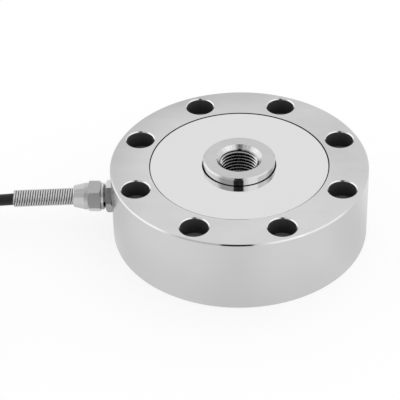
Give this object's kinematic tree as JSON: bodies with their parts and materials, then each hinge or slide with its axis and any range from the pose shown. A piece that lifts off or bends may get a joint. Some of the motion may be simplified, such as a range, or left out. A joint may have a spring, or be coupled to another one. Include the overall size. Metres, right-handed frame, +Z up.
{
  "type": "pancake load cell",
  "caption": "Low-profile pancake load cell: a steel ring with counterbored bolt holes, a raised threaded hub, thin cover discs and a spring-relieved cable.",
  "frame": {"origin": "centre of the ring's base, where its axis meets the surface that it stands on", "axes": "+Z up along the load axis, -X towards the cable gland, +Y the rest of the right-handed frame"},
  "size_m": [0.2421, 0.144, 0.0349],
  "materials": {
    "machined_steel": "fine turned nickel-plated steel, satin",
    "polished_steel": "polished sheet, nearly a mirror",
    "gland_steel": "turned, bright satin",
    "spring_steel": "drawn wire, satin",
    "seal_rubber": "matt black",
    "cable_jacket": "soft black jacket, low sheen",
    "tie_nylon": "black nylon",
    "board_laminate": "green solder mask",
    "wound_wire": "enamelled wire on a spool",
    "chip_ceramic": "coated ceramic chip",
    "gauge_film": "amber polyimide film",
    "loom_sleeve": "white sleeve",
    "red_insulation": "red insulation",
    "black_insulation": "black insulation",
    "green_insulation": "green insulation",
    "white_insulation": "white insulation",
    "tinned_wire": "tinned copper strand"
  },
  "bodies": {
    "root": {"black_conductor": "tinned_wire", "bottom_cover": "polished_steel", "cable_coil": "cable_jacket", "cable_in_gland": "cable_jacket", "cable_lead": "cable_jacket", "cable_tail": "cable_jacket", "cable_tie_1": "tie_nylon", "cable_tie_2": "tie_nylon", "compensation_board": "board_laminate", "core_black_end": "black_insulation", "core_black_inside": "black_insulation", "core_green_end": "green_insulation", "core_green_inside": "green_insulation", "core_red_end": "red_insulation", "core_red_inside": "red_insulation", "core_white_end": "white_insulation", "core_white_inside": "white_insulation", "gauge_harness": "loom_sleeve", "gland_body": "gland_steel", "gland_nut": "gland_steel", "gland_o_ring": "seal_rubber", "gland_seal": "seal_rubber", "green_conductor": "tinned_wire", "input_resistor": "chip_ceramic", "output_resistor": "chip_ceramic", "red_conductor": "tinned_wire", "sensing_body": "machined_steel", "shield_drain": "tinned_wire", "span_resistor": "wound_wire", "strain_gauge_1": "gauge_film", "strain_gauge_2": "gauge_film", "strain_gauge_3": "gauge_film", "strain_gauge_4": "gauge_film", "strain_gauge_5": "gauge_film", "strain_gauge_6": "gauge_film", "strain_gauge_7": "gauge_film", "strain_gauge_8": "gauge_film", "strain_relief_spring": "spring_steel", "thrust_washer": "gland_steel", "top_cover": "polished_steel", "white_conductor": "tinned_wire", "zero_resistor": "wound_wire"}
  },
  "joints": []
}
